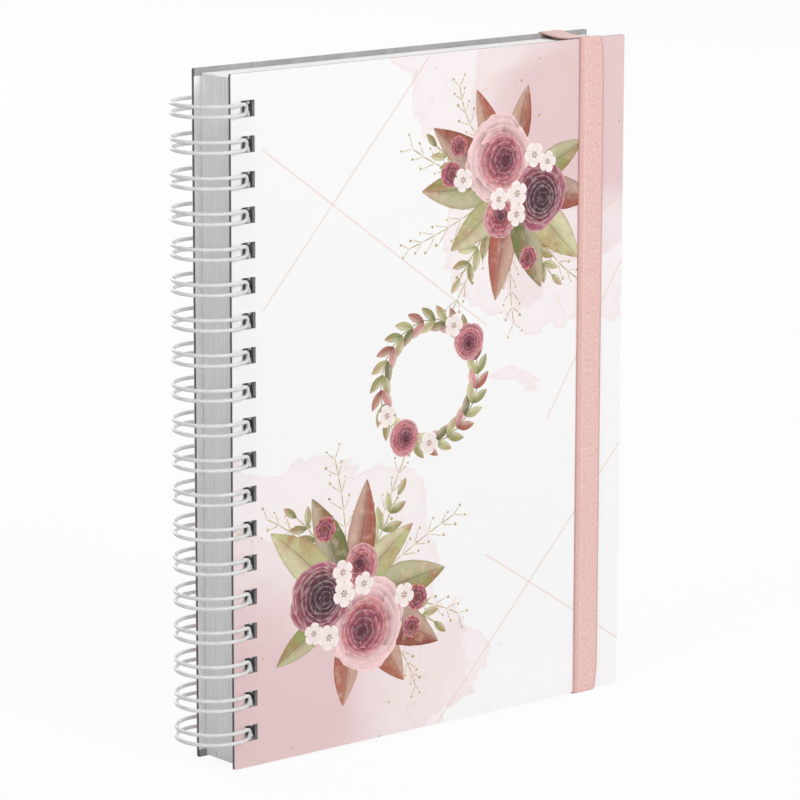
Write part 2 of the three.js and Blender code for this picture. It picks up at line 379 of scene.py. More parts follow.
# %% Washes, veins and straight lines
def sheet_place(start, u, v, seed):
    """Where a point of the sheet is in noise; each seed is another piece of noise."""
    return vector(start, u / NOISE_SPAN, v / NOISE_SPAN, seed)


def wash(start, u, v, seed, centre, reach, depth):
    """How far inside a wash a point is: above 0 within, in units of its reach."""
    du, dv = (u - centre[0]) / reach[0], (v - centre[1]) / reach[1]
    distance = (du * du + dv * dv) ** 0.5
    cloud = noise(start, sheet_place(start, u, v, seed), 1.6, 5.0, 0.55, 0.6)
    return 1 - distance + (cloud - 0.5) * depth


def line_mask(u, v, ends, width=0.32):
    """1 on a straight line between two points in millimetres."""
    (u0, v0), (u1, v1) = ends
    length = math.hypot(u1 - u0, v1 - v0)
    along_u, along_v = (u1 - u0) / length, (v1 - v0) / length
    across = abs((u - u0) * along_v - (v - v0) * along_u)
    along = (u - u0) * along_u + (v - v0) * along_v
    return across.fade(width * 1.4, width * 0.6) * (along > 0) * (along < length)


def cover_material(name, left, direction, washes, lines, seed):
    """The satin print: its washes, veins, dots and lines on a near-white ground."""
    material, start = new_material(name, {"Specular IOR Level": 0.45})
    x, y, z = place_in_mm(start)
    u, v = (x - left) * direction, z - COVER_BOTTOM
    colour, everywhere = GROUND, None
    for index, (centre, reach) in enumerate(washes):
        inside = []
        for step, share, ragged, (dry, wet), strength, tone in WASH_LAYERS:
            layer_reach = (reach[0] * share, reach[1] * share)
            inside.append(wash(start, u, v, seed + index + step, centre, layer_reach, ragged))
            colour = glaze(colour, (inside[-1].fade(dry, wet), strength, tone))
        rim = abs(inside[0] - RIM_PLACE).fade(RIM_WIDTH, 0.0)
        colour = glaze(colour, (rim, RIM_STRENGTH, SECOND_WASH))
        everywhere = inside[0] if everywhere is None else everywhere.either(inside[0])
    marble = noise(start, sheet_place(start, u, v, seed + VEIN_SEED), 1.9, 6.0, 0.6, 1.2)
    thin = abs(marble - 0.5).fade(VEIN_WIDTH, 0.0)
    broken = noise(start, sheet_place(start, u, v, seed + BREAK_SEED), 4.0, 2.0).fade(0.42, 0.62)
    colour = glaze(colour, (thin * broken * everywhere.fade(0.02, 0.2), VEIN_STRENGTH, VEIN_GOLD))
    for ends in lines:
        colour = glaze(colour, (line_mask(u, v, ends), LINE_STRENGTH, LINE_PINK))
    cells = {"Vector": sheet_place(start, u, v, seed), "Scale": 22.0}
    cell, tint = start.node("TexVoronoi", inputs=cells, output=("Distance", "Color"))
    large, kept = start.node("SeparateColor", inputs={0: tint}, output=("Red", "Green"))
    dot = (cell < (large ** 3.0) * DOT_SIZE) * (kept > DOTS_LEFT_OUT)
    colour = glaze(colour, (dot * everywhere.fade(-0.15, 0.1), DOT_STRENGTH, DOT_GOLD))
    film = noise(start, vector(start, x, z), 0.9, 3.0)
    fine = noise(start, vector(start, x, z), 6.0, 2.0)
    feed(material, Base_Color=colour, Roughness=film.fade(0.3, 0.7, 0.34, 0.42),
         Normal=bump(start, 0.12, 0.03, fine))
    return material


# %% The two prints
# A wash is its middle and its reach, a line is its two ends, in millimetres on the sheet
FRONT_WASHES = [((8, 18), (104, 92)), ((180, 236), (96, 90))]
BACK_WASHES = [((12, 232), (96, 88)), ((176, 18), (92, 88))]
FRONT_LINES = [((14, 168), (92, 254)), ((14, 226), (120, 150)), ((96, 0), (188, 96)),
               ((120, 62), (188, 18)), ((150, 110), (188, 168))]
BACK_LINES = [((0, 60), (84, 0)), ((30, 0), (110, 84)), ((110, 254), (188, 160))]
FRONT_SEED, BACK_SEED = 3.0, 11.0
COVER_RIGHT = COVER_LEFT + COVER_WIDTH
front_print = cover_material("front_print", COVER_LEFT, 1, FRONT_WASHES, FRONT_LINES, FRONT_SEED)
back_print = cover_material("back_print", COVER_RIGHT, -1, BACK_WASHES, BACK_LINES, BACK_SEED)


# %% Dress the covers
def dress(node, material):
    """Puts a material on a node that keeps its CAD shape."""
    nodes[node].data.materials.clear()
    nodes[node].data.materials.append(material)
    print("dressed:", node, "in", material.name)


dress("front_cover_print", front_print)
dress("back_cover_print", back_print)

# %% [markdown]
# ## Board and liners
#
# Under the print is grey board, pressed from waste paper: its cut edges show as dark grey
# lines with a fibrous grain along them. The inner face is covered by a plain white liner.
# Both are matt. The grain is noise that is stretched along the edge, so it has to know
# which way the edge runs: a short wave across the board's thickness does that on all four.
# The two long edges are painted a darker grey: painted shade, so that the side edges look shaded beside
# the top, the bottom and the holes.

# %% Grey board
SHADED_EDGE_WIDTH = 0.4
board_material, start = new_material("grey_board", {"Specular IOR Level": 0.25})
x, y, z = place_in_mm(start)
fibre = noise(start, vector(start, x * 0.25, y * 4.0, z * 0.25), 1.0, 4.0, 0.65)
speck = noise(start, vector(start, x, y * 2.0, z), 2.4, 2.0)
from_middle = abs(x - (COVER_LEFT + COVER_WIDTH / 2))
# Painted shade: the left and right edges of each board get a darker grey than its other edges
shaded_edge_grey = fibre.fade(0.25, 0.75).paint(srgb(92, 91, 94), srgb(122, 121, 123))
unshaded_edge_grey = fibre.fade(0.25, 0.75).paint(srgb(164, 161, 163), srgb(184, 181, 183))
board_colour = (from_middle > COVER_WIDTH / 2 - SHADED_EDGE_WIDTH).paint(unshaded_edge_grey, shaded_edge_grey)
board_colour = glaze(board_colour, (speck.fade(0.62, 0.75), 0.3, srgb(196, 194, 193)))
feed(board_material, Base_Color=board_colour, Roughness=fibre.fade(0.2, 0.8, 0.8, 0.95),
     Normal=bump(start, 0.4, 0.08, fibre))
for node in ("front_cover_board", "back_cover_board"):
    dress(node, board_material)

# %% Liner paper
liner_material, start = new_material("liner_paper", {"Specular IOR Level": 0.3})
x, y, z = place_in_mm(start)
felt = noise(start, vector(start, x, y, z), 1.3, 4.0, 0.6)
liner_colour = felt.fade(0.3, 0.7).paint(srgb(246, 246, 247), srgb(254, 254, 254))
feed(liner_material, Base_Color=liner_colour, Roughness=felt.fade(0.2, 0.8, 0.7, 0.85),
     Normal=bump(start, 0.2, 0.04, felt))
for node in ("front_cover_liner", "back_cover_liner"):
    dress(node, liner_material)

# %% [markdown]
# ## The pages
#
# In the CAD model a page section is one slab. A real block shows its leaves at every
# edge, as fine lines that waver because no two leaves lie quite flush. So each slab
# gives its outline, holes and all, to thirteen thin leaves: its mesh is merged, pressed
# flat, and repeated with a small slip. Each leaf keeps its own tone in an attribute.
#
# The leaves are printed with a plain day plan: a margin, a heading bar and ruled lines.
# Only their faces are ruled, which the normal on Object coordinates tells apart.

# %% Page finish
RULE_PITCH, RULE_WIDTH, COLUMN_WIDTH = 7.0, 0.16, 0.2
HEADING_TOP, HEADING_END, COLUMN_TOP, RULES_TOP, FOOT = 14.0, 24.0, 30.0, 38.0, 14.0
PUNCHED_MARGIN, OUTER_MARGIN, COLUMN_SHARE = 17.0, 9.0, 0.54
RULE_INK, HEADING_INK = srgb(178, 160, 158), srgb(240, 218, 214)
page_low, page_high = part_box("page_section_01")
PAGE_LEFT, PAGE_BOTTOM = page_low.x / MM, page_low.z / MM
PAGE_WIDTH, PAGE_HEIGHT = (page_high.x - page_low.x) / MM, (page_high.z - page_low.z) / MM

page_material, start = new_material("page_paper", {"Specular IOR Level": 0.25})
x, y, z = place_in_mm(start)
tone = start.node("Attribute", {"attribute_name": "leaf_tone"}, output="Fac")
facing = start.node("SeparateXYZ", inputs={0: start.node("TexCoord", output="Normal")}, output=1)
on_face = abs(facing) > 0.5
grain = noise(start, vector(start, x, y * 8.0, z), 0.8, 4.0, 0.6)
streak = noise(start, vector(start, x * 0.02, y * 6.0, z * 0.02), 1.0, 3.0, 0.6)
paper = (tone * 0.5 + streak * 0.5).paint(srgb(234, 234, 234), srgb(252, 252, 252))
paper = on_face.paint(paper, grain.fade(0.3, 0.7).paint(srgb(246, 246, 244), srgb(250, 250, 248)))
right, down = x - PAGE_LEFT, PAGE_HEIGHT - (z - PAGE_BOTTOM)
row = down.math("PINGPONG", down, RULE_PITCH / 2)
rules = row.fade(RULE_WIDTH, RULE_WIDTH / 2) * (down > RULES_TOP)
column = abs(right - PAGE_WIDTH * COLUMN_SHARE).fade(COLUMN_WIDTH, COLUMN_WIDTH / 2) * (down > COLUMN_TOP)
ruled = rules.either(column) * (down < PAGE_HEIGHT - FOOT)
heading_bar = (down > HEADING_TOP) * (down < HEADING_END)
within = (right > PUNCHED_MARGIN) * (right < PAGE_WIDTH - OUTER_MARGIN) * on_face
paper = glaze(paper, (ruled * within, 0.55, RULE_INK), (heading_bar * within, 0.9, HEADING_INK))
feed(page_material, Base_Color=paper, Roughness=grain.fade(0.2, 0.8, 0.72, 0.88))

# %% Leaves from each CAD section
LEAVES = 13
LEAF_SHARE = 0.97
LEAF_SLIP = 0.035 * MM
FIRST_GAP = 0.02
SLAB_WELD = 0.01 * MM
SECTIONS = sorted(name for name in nodes if name.startswith("page_section"))


def add_piece(name, shape, material, body):
    """Makes a bmesh a finished piece that rides on a body."""
    mesh = bpy.data.meshes.new(name)
    shape.to_mesh(mesh)
    shape.free()
    mesh.materials.append(material)
    piece = bpy.data.objects.new(name, mesh)
    bpy.context.scene.collection.objects.link(piece)
    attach(piece, body)
    return piece


def leaves_of(section, chance):
    """Thin leaves with the outline and the holes of one CAD section."""
    low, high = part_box(section)
    pitch = (high.y - low.y) / LEAVES
    shape = bmesh.new()
    shape.from_mesh(nodes[section].data)
    bmesh.ops.remove_doubles(shape, verts=shape.verts, dist=SLAB_WELD)
    tone_layer = shape.verts.layers.float.new("leaf_tone")
    squeeze = Matrix.Scale(LEAF_SHARE / LEAVES, 4, (0, 1, 0))
    pressed = Matrix.Translation((0, low.y, 0)) @ squeeze @ Matrix.Translation((0, -low.y, 0))
    bmesh.ops.transform(shape, matrix=pressed, verts=shape.verts)
    first = shape.verts[:] + shape.edges[:] + shape.faces[:]
    for index in range(LEAVES):
        leaf = first
        if index < LEAVES - 1:
            leaf = bmesh.ops.duplicate(shape, geom=first)["geom"]
        verts = [part for part in leaf if isinstance(part, bmesh.types.BMVert)]
        slip = Vector((chance.uniform(-1, 1) * LEAF_SLIP,
                       (index + FIRST_GAP) * pitch,
                       chance.uniform(-1, 1) * LEAF_SLIP))
        bmesh.ops.translate(shape, vec=slip, verts=verts)
        tone = chance.random()
        for vert in verts:
            vert[tone_layer] = tone
    return shape


for number, section in enumerate(SECTIONS):
    shape = leaves_of(section, random.Random(number))
    leaf_block = add_piece(section.replace("page_section", "leaves"), shape, page_material,
                           section.replace("page_section", "section"))
    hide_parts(section)
print("leaves:", len(SECTIONS), "sections of", LEAVES, "-", len(leaf_block.data.polygons), "faces")

# %% [markdown]
# ## The wire
#
# Twin-loop wire is one length of coated steel: it runs up behind the front cover as a
# short link, goes round in a loop, turns back on itself in a U that ends in the next
# hole, and returns beside itself to the next link. A curve with a round bevel is the
# natural way to draw it: the points follow the same line as the CAD solid, only closer
# together, and the finished tube becomes a mesh.

# %% Wire sizes
# LINK_Y and TIP_Y are depths from the ring's middle, which is a little outside the covers
WIRE_RADIUS, TWIN_HALF = 0.7, 1.85
RING_RADIUS, RING_OUTSIDE = 13.602, 0.8
RING_X = COVER_LEFT - RING_OUTSIDE
HOLE_PITCH, FIRST_HOLE, LOOPS = 12.7, 13.5, 19
LINK_Y, LINK_BEND = -9.05, 1.5
TIP_Y, TIP_REACH = -10.9, 3.4
LINK_ANGLE = math.asin(LINK_Y / RING_RADIUS)
LOOP_START = LINK_ANGLE + LINK_BEND / RING_RADIUS
TIP_ANGLE = math.tau + math.asin(TIP_Y / RING_RADIUS)
LOOP_END = TIP_ANGLE - TIP_REACH / RING_RADIUS
LOOP_POINTS, TIP_POINTS, LINK_POINTS = 44, 12, 6
print(f"loops run from {math.degrees(LOOP_START):.0f} to {math.degrees(LOOP_END):.0f} degrees")


# %% Wire centre line
def ring_point(angle, height):
    return Vector((RING_X + RING_RADIUS * math.cos(angle), RING_RADIUS * math.sin(angle), height)) * MM


def link_bend(height, side):
    """The quarter bend from a link into a loop, from the link's end onwards."""
    points = []
    for step in range(LINK_POINTS):
        bend = math.pi / 2 * (1 - step / LINK_POINTS)
        angle = LOOP_START - LINK_BEND / RING_RADIUS * math.sin(bend)
        points.append(ring_point(angle, height + side * (TWIN_HALF + LINK_BEND * (1 - math.cos(bend)))))
    return points


def wire_line():
    """The whole wire from its lowest link to its highest, as points in metres."""
    line = []
    around = [LOOP_START + (LOOP_END - LOOP_START) * step / LOOP_POINTS
              for step in range(LOOP_POINTS + 1)]
    for index in range(LOOPS):
        height = FIRST_HOLE + index * HOLE_PITCH
        first, last = index == 0, index == LOOPS - 1
        line += [ring_point(LINK_ANGLE, height - TWIN_HALF)] if first else link_bend(height, -1)
        line += [ring_point(angle, height - TWIN_HALF) for angle in around]
        for step in range(1, TIP_POINTS):
            bend = math.pi * step / TIP_POINTS
            angle = LOOP_END + TIP_REACH / RING_RADIUS * math.sin(bend)
            line.append(ring_point(angle, height - TWIN_HALF * math.cos(bend)))
        line += [ring_point(angle, height + TWIN_HALF) for angle in reversed(around)]
        line += [ring_point(LINK_ANGLE, height + TWIN_HALF)] if last else link_bend(height, 1)[::-1]
    return line


points = wire_line()
print("wire line:", len(points), "points")

# %% Wire finish
wire_material, start = new_material("coated_wire", {
    "Coat Roughness": 0.2, "Specular IOR Level": 0.2, "IOR": 1.5})
x, y, z = place_in_mm(start)
peel = noise(start, vector(start, x, y, z), 0.35, 2.0)
wire_colour = peel.fade(0.3, 0.7).paint(srgb(219, 219, 219), srgb(229, 229, 229))
feed(wire_material, Base_Color=wire_colour, Roughness=peel.fade(0.2, 0.8, 0.36, 0.44),
     Coat_Weight=peel.fade(0.2, 0.8, 0.02, 0.08), Normal=bump(start, 0.05, 0.05, peel))

# %% Wire piece
WELD = 0.001 * MM
BEVEL_STEPS = 3
wire_curve = bpy.data.curves.new("wire_line", "CURVE")
wire_curve.dimensions = "3D"
wire_curve.bevel_depth = WIRE_RADIUS * MM
wire_curve.bevel_resolution = BEVEL_STEPS
wire_curve.use_fill_caps = True
spline = wire_curve.splines.new("POLY")
spline.points.add(len(points) - 1)
for knot, point in zip(spline.points, points):
    knot.co = (*point, 1.0)
wire_line_object = bpy.data.objects.new("wire_line", wire_curve)
bpy.context.scene.collection.objects.link(wire_line_object)
bpy.context.view_layer.update()
tube = bmesh.new()
tube.from_mesh(wire_line_object.to_mesh())
bmesh.ops.remove_doubles(tube, verts=tube.verts, dist=WELD)
bmesh.ops.recalc_face_normals(tube, faces=tube.faces)
for face in tube.faces:
    face.smooth = True
bpy.data.objects.remove(wire_line_object)
wire = add_piece("wire_loops", tube, wire_material, "front_cover")
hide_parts("wire_binding")
print("wire:", len(wire.data.polygons), "faces")

# %% [markdown]
# ## The elastic band
#
# The closure is a flat woven elastic, a little thicker along its middle than at its
# selvedges. It goes down the front, under and over the edges and through two slots in
# the back cover. The band starts as a grid that is laid along the CAD model's route; its
# copy is pushed out by the band's thickness, and the weave follows the band's own map.
# Two small things make it soft: it dips between the covers where it crosses the pages,
# and its outer side is drawn in a little where it bends over an edge.

# %% Band route
# The band's ends are tabs on the back board's inner face, between the two slots
BAND_THICKNESS, BAND_GAP = 0.5, 0.15
BAND_BEND, BEND_STEPS = 0.6, 6
SLOT_EDGE, TAB, TAB_GAP, BOARD_IN = 14.0, 15.0, 0.1, 10.1
band_low, band_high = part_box("elastic_band")
BAND_WIDTH = (band_high.x - band_low.x) / MM
BAND_CENTRE = (band_high.x + band_low.x) / 2
half = BAND_THICKNESS / 2
tab_y = BOARD_IN + TAB_GAP + half
back_y, front_y = BACK_FACE + BAND_GAP + half, FRONT_FACE - BAND_GAP - half
cover_top = COVER_BOTTOM + COVER_HEIGHT
top_z = cover_top + BAND_GAP + half
low_slot, high_slot = COVER_BOTTOM + SLOT_EDGE, cover_top - SLOT_EDGE
BAND_CORNERS = [(tab_y, high_slot - TAB), (tab_y, high_slot), (back_y, high_slot), (back_y, top_z),
                (front_y, top_z), (front_y, half), (back_y, half), (back_y, low_slot),
                (tab_y, low_slot), (tab_y, low_slot + TAB)]


def rounded_route(corners):
    """The corners' route with a small round bend at each, in millimetres."""
    corners = [Vector(corner) for corner in corners]
    route = [corners[0]]
    for before, corner, after in zip(corners, corners[1:], corners[2:]):
        into, out = (corner - before).normalized(), (after - corner).normalized()
        for step in range(BEND_STEPS + 1):
            bend = math.pi / 2 * step / BEND_STEPS
            route.append(corner - into * BAND_BEND * (1 - math.sin(bend))
                         + out * BAND_BEND * (1 - math.cos(bend)))
    return route + [corners[-1]]


def run_after(corner):
    """The index in the route of the first point after a corner's bend."""
    return 1 + corner * (BEND_STEPS + 1)


route = rounded_route(BAND_CORNERS)
print("band route:", len(route), "points, slots at", round(low_slot, 1), "and", round(high_slot, 1))

# %% Dip between the covers
OVER_TOP, DOWN_FRONT = 3, 4
DIP, DIP_STEPS = 1.1, 10
NECK_STOPS = (1.5, 3.5, 6.0, 9.0, 14.0)
begin = run_after(DOWN_FRONT)
top_point, low_point = route[begin - 1], route[begin]
down = (low_point - top_point).normalized()
route[begin:begin] = ([top_point + down * stop for stop in NECK_STOPS]
                      + [low_point - down * stop for stop in reversed(NECK_STOPS)])
begin = run_after(OVER_TOP)
back_point, front_point = route[begin - 1], route[begin]
shares = [step / DIP_STEPS for step in range(1, DIP_STEPS)]
route[begin:begin] = [back_point.lerp(front_point, share) - Vector((0, DIP * math.sin(math.pi * share)))
                      for share in shares]
print("with the dip and the necks:", len(route), "points")

# %% Band mesh
BAND_SEGMENTS, SELVEDGE_THIN = 12, 0.6
NECK, NECK_REACH = 1.5, 5.0
SAME_DIGITS = 6


def rounded_place(*verts):
    """A part's place from its points, rounded so that equal places give equal values."""
    total = sum((vert.co for vert in verts), Vector((0, 0, 0)))
    return tuple(round(value, SAME_DIGITS) for value in total)


def sort_by_place(shape):
    """Gives a mesh's parts a fixed order, because an extrusion adds its own in any order."""
    for parts in (shape.verts, shape.edges, shape.faces):
        placed = [(rounded_place(*getattr(part, "verts", [part])), part) for part in parts]
        ranked = sorted(placed, key=lambda pair: pair[0])
        rank = {part: number for number, (place, part) in enumerate(ranked)}
        parts.sort(key=rank.get)


def band_shape():
    """The band's closed mesh, its map running across in u and along in v, in millimetres."""
    shape = bmesh.new()
    along = len(route) - 1
    made = bmesh.ops.create_grid(shape, x_segments=BAND_SEGMENTS, y_segments=along, size=1.0)
    places = {}
    for vert in made["verts"]:
        places[vert] = (vert.co.x, round((vert.co.y + 1) / 2 * along))
    distance = [0.0]
    for before, after in zip(route, route[1:]):
        distance.append(distance[-1] + (after - before).length)
    weave_map = shape.loops.layers.uv.new("UVMap")
    for face in shape.faces:
        for loop in face.loops:
            side, step = places[loop.vert]
            loop[weave_map].uv = (side * BAND_WIDTH / 2, distance[step])
    outward = []
    for step in range(len(route)):
        run = (route[min(step + 1, along)] - route[max(step - 1, 0)]).normalized()
        outward.append(Vector((run.y, -run.x)))

    def settle(verts, depth_of):
        for vert in verts:
            side, step = places[vert]
            point = route[step] + outward[step] * depth_of(abs(side))
            from_edge = max(min(cover_top - point.y, point.y - COVER_BOTTOM), 0.0)
            drawn_in = NECK * math.exp(-from_edge / NECK_REACH) * (side + 1) / 2
            vert.co = (BAND_CENTRE + (side * BAND_WIDTH / 2 - drawn_in) * MM, point.x * MM, point.y * MM)

    order = list(shape.verts)
    grown = bmesh.ops.extrude_face_region(shape, geom=shape.faces[:])["geom"]
    upper = [part for part in grown if isinstance(part, bmesh.types.BMVert)]
    by_start = {rounded_place(vert): vert for vert in order}
    for vert in upper:
        places[vert] = places[by_start[rounded_place(vert)]]
    settle(order, lambda side: -half)
    settle(upper, lambda side: half * (1 - SELVEDGE_THIN * side ** 6))
    sort_by_place(shape)
    bmesh.ops.recalc_face_normals(shape, faces=shape.faces)
    for face in shape.faces:
        face.smooth = True
    return shape


# %% [markdown]
# ### The woven finish
#
# Elastic is woven from fluffy yarn over rubber cords, so it is matt and shows rows of small
# bumps. Two sine waves, one across the band and one along it, give the weave's height, and
# noise adds the fluff. The height tilts the surface, and it also lightens the colour where it
# is high: a painted highlight on the raised weave, with painted shade left in its grooves. One
# side has a plain welt with a pale line, and the selvedges are a shade darker.

# %% Elastic finish
# Places across the band are shares of its width, from its middle
CORD_PITCH, PICK_PITCH = 0.75, 0.85
EDGE_START, EDGE_END = 0.42, 0.47
WELT_PLACE, WELT_OUTER, WELT_INNER, WELT_LINE_PLACE = 0.4, 0.12, 0.09, 0.27
elastic_material, start = new_material("woven_elastic", {
    "Specular IOR Level": 0.3, "Sheen Weight": 0.25})
u, v = map_place(start)
cords = (u * (math.pi / CORD_PITCH)).math("SINE", u * (math.pi / CORD_PITCH))
picks = (v * (math.pi / PICK_PITCH)).math("SINE", v * (math.pi / PICK_PITCH))
weave = (cords * picks).fade(-0.9, 0.9)
ribs = abs(cords).fade(0.0, 0.6)
fluff = noise(start, vector(start, u, v), 1.6, 4.0, 0.7)
height = weave * 0.6 + ribs * 0.3 + fluff * 0.3
uneven = noise(start, vector(start, u * 1.2, v * 0.8), 0.9, 2.0, 0.6)
edge = abs(u).fade(BAND_WIDTH * EDGE_START, BAND_WIDTH * EDGE_END)
welt = abs(u + BAND_WIDTH * WELT_PLACE).fade(BAND_WIDTH * WELT_OUTER, BAND_WIDTH * WELT_INNER)
welt_line = abs(u + BAND_WIDTH * WELT_LINE_PLACE).fade(0.28, 0.1)
# The first layer is a painted highlight where the weave is high, which leaves painted shade in its
# grooves
elastic_colour = glaze(
    srgb(228, 176, 170),
    (height, 0.7, srgb(248, 214, 208)),
    (uneven.fade(0.52, 0.68), 0.5, srgb(252, 222, 216)),
    (uneven.fade(0.46, 0.32), 0.4, srgb(208, 150, 144)),
    (welt, 0.3, srgb(216, 164, 156)),
    (welt_line, 0.5, srgb(250, 220, 212)),
    (edge, 0.55, srgb(204, 152, 146)))
feed(elastic_material, Base_Color=elastic_colour, Roughness=fluff.fade(0.0, 1.0, 0.7, 0.9),
     Normal=bump(start, 0.7, 0.25, height))

# %% Band piece
band = add_piece("elastic_closure", band_shape(), elastic_material, "elastic")
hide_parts("elastic_band")
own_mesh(band)
print("band:", len(band.data.polygons), "faces")

# %% [markdown]
# ## Printed flowers and leaves
#
# The flowers are ink on the cover, so they are flat; what makes them rich is that every
# petal has its own outline, tone and shading, laid over the one below. Each is a small
# grid pressed to a petal's outline. Each is laid a hair higher than the last, so no two
# ever share a place, and the highest is a quarter of a millimetre above the sheet. Its
# map says how far along and across the petal a point is, which is all that the shading
# needs.

# %% Blank shapes
def blank_shape(across, along):
    """A closed slab, 2 wide and 2 long, that petals are bent from; z is 1 on its face."""
    blank = bmesh.new()
    bmesh.ops.create_grid(blank, x_segments=across, y_segments=along, size=1.0)
    grown = bmesh.ops.extrude_face_region(blank, geom=blank.faces[:])["geom"]
    raised = [part for part in grown if isinstance(part, bmesh.types.BMVert)]
    bmesh.ops.translate(blank, vec=(0, 0, 1), verts=raised)
    sort_by_place(blank)
    bmesh.ops.recalc_face_normals(blank, faces=blank.faces)
    mesh = bpy.data.meshes.new("blank")
    blank.to_mesh(mesh)
    blank.free()
    return mesh


LEAF_BLANK, PETAL_BLANK, STROKE_BLANK = blank_shape(2, 10), blank_shape(2, 6), blank_shape(1, 3)
print("blanks:", [len(blank.polygons) for blank in (LEAF_BLANK, PETAL_BLANK, STROKE_BLANK)], "faces")

# %% Ink on one cover
INK_SINK, LEVEL_STEP = 0.01, 0.0007
PRINT_EDGE, HOLE_STRIP = 1.0, 13.0
POINTED, ROUND = 0.85, 0.5


def heading(angle):
    return Vector((math.cos(angle), math.sin(angle)))


class Print:
    """The ink on one cover: where it is, and the shapes that are laid on it."""

    def __init__(self, face, outward, left, direction, seed):
        self.face, self.outward, self.left, self.direction = face, outward, left, direction
        self.chance = random.Random(seed)
        self.shape = bmesh.new()
        self.laid, self.level = 0, 0.0

    def to_cover(self, u, v, level):
        """A point of the sheet in millimetres, as a point of the planner in metres."""
        depth = self.face + self.outward * level
        return Vector((self.left + self.direction * u, depth, COVER_BOTTOM + v)) * MM

    def petal(self, place, angle, length, width, tint,
              blank=PETAL_BLANK, widest=0.5, ends=ROUND, curl=0.0):
        """A petal, leaf or stroke from its base point; widest is a share of its length."""
        forward, base = heading(angle), Vector(place)
        sideways = Vector((-forward.y, forward.x))
        for end in (base, base + forward * length + sideways * curl * length):
            if not HOLE_STRIP < end.x < COVER_WIDTH - PRINT_EDGE:
                return
            if not PRINT_EDGE < end.y < COVER_HEIGHT - PRINT_EDGE:
                return
        one = bmesh.new()
        one.from_mesh(blank)
        ink_map = one.loops.layers.uv.new("UVMap")
        tint_layer = one.loops.layers.float_color.new("tint")
        shares = {vert: (1 - math.cos(math.pi * (vert.co.y + 1) / 2)) / 2 for vert in one.verts}
        for face in one.faces:
            for loop in face.loops:
                loop[ink_map].uv = (loop.vert.co.x, shares[loop.vert])
                loop[tint_layer] = tint
        power = math.log(0.5) / math.log(widest)
        for vert, share in shares.items():
            half_width = width / 2 * max(math.sin(math.pi * share ** power), 0.0) ** ends
            aside = vert.co.x * half_width + curl * length * share ** 2
            spot = base + forward * (length * share) + sideways * aside
            vert.co = self.to_cover(spot.x, spot.y, self.level if vert.co.z > 0.5 else -INK_SINK)
        bmesh.ops.remove_doubles(one, verts=one.verts, dist=WELD)
        bmesh.ops.recalc_face_normals(one, faces=one.faces)
        mesh = bpy.data.meshes.new("petal")
        one.to_mesh(mesh)
        one.free()
        self.shape.from_mesh(mesh)
        bpy.data.meshes.remove(mesh)
        self.laid += 1
        self.level += LEVEL_STEP

    def finish(self, name, material, body):
        piece = add_piece(name, self.shape, material, body)
        print(name, self.laid, "shapes,", len(piece.data.polygons), "faces")
        return piece


# %% Ink colours
def vary(colour, chance, amount=0.12):
    """The same ink a little lighter or darker."""
    factor = 1 + chance.uniform(-amount, amount)
    return tuple(min(value * factor, 1.0) for value in colour[:3]) + (colour[3],)


def between(tints, share):
    """The colour at a share of the way through a row of colours."""
    place = share * (len(tints) - 1)
    index = min(int(place), len(tints) - 2)
    return tuple(a + (b - a) * (place - index) for a, b in zip(tints[index], tints[index + 1]))


# Alpha is the share of the fold's shade that a petal gets
DUSTY_PINK, PALE_PINK = srgb(208, 142, 148), srgb(240, 204, 204)
MAUVE, BURGUNDY, PLUM = srgb(168, 86, 108), srgb(116, 40, 64), srgb(74, 22, 44)
RUST, DARK_RUST, ROSE = srgb(164, 88, 74), srgb(128, 58, 50), srgb(200, 106, 112)
OLIVE, PALE_OLIVE, DEEP_OLIVE = srgb(146, 150, 88), srgb(188, 188, 134), srgb(108, 114, 62)
CREAM, STAMEN = srgb(252, 242, 238)[:3] + (0.16,), srgb(206, 168, 104)
# The gold finish has its own colour, so its strokes carry plain white
GOLD = (1.0, 1.0, 1.0, 1.0)

# %% [markdown]
# ### The three inks
#
# A painted petal is deep where it folds under the next and pale along its rim; a painted
# leaf has a rib, side veins and a warmer tip where the paint ran. Each ink reads the tint
# that its shape carries and lays such layers over it with the shape's own map. So one
# material serves every flower, one every leaf, and one the gold lines.

# %% Flower ink
ink_material, start = new_material("flower_ink", {"Specular IOR Level": 0.45})
u, v = map_place(start)
tint, fold_share = start.node("Attribute", {"attribute_name": "tint"}, output=("Color", "Alpha"))
x, y, z = place_in_mm(start)
bloom = noise(start, vector(start, x, z), 0.35, 4.0, 0.6)
water = noise(start, vector(start, u * 2.5, v * 1.2, x * 0.05), 2.0, 3.0, 0.6)
folded = v.fade(0.97, 0.6)
rim_light = abs(u).fade(0.55, 0.95).either(v.fade(0.9, 0.985))
lit = start.node("Mix", {"data_type": "RGBA"}, {0: 0.5, 6: tint, 7: srgb(255, 226, 224)}, 2)
ink = glaze(
    tint,
    (folded * fold_share, 0.8, (0.36, 0.2, 0.26, 1), "MULTIPLY"),
    (rim_light * (1 - folded), 0.8, lit),
    (bloom.fade(0.45, 0.8), 0.16, srgb(250, 236, 232)),
    (water.fade(0.45, 0.8) * fold_share, 0.3, (0.62, 0.46, 0.52, 1), "MULTIPLY"))
feed(ink_material, Base_Color=ink, Roughness=bloom.fade(0.3, 0.7, 0.36, 0.44))

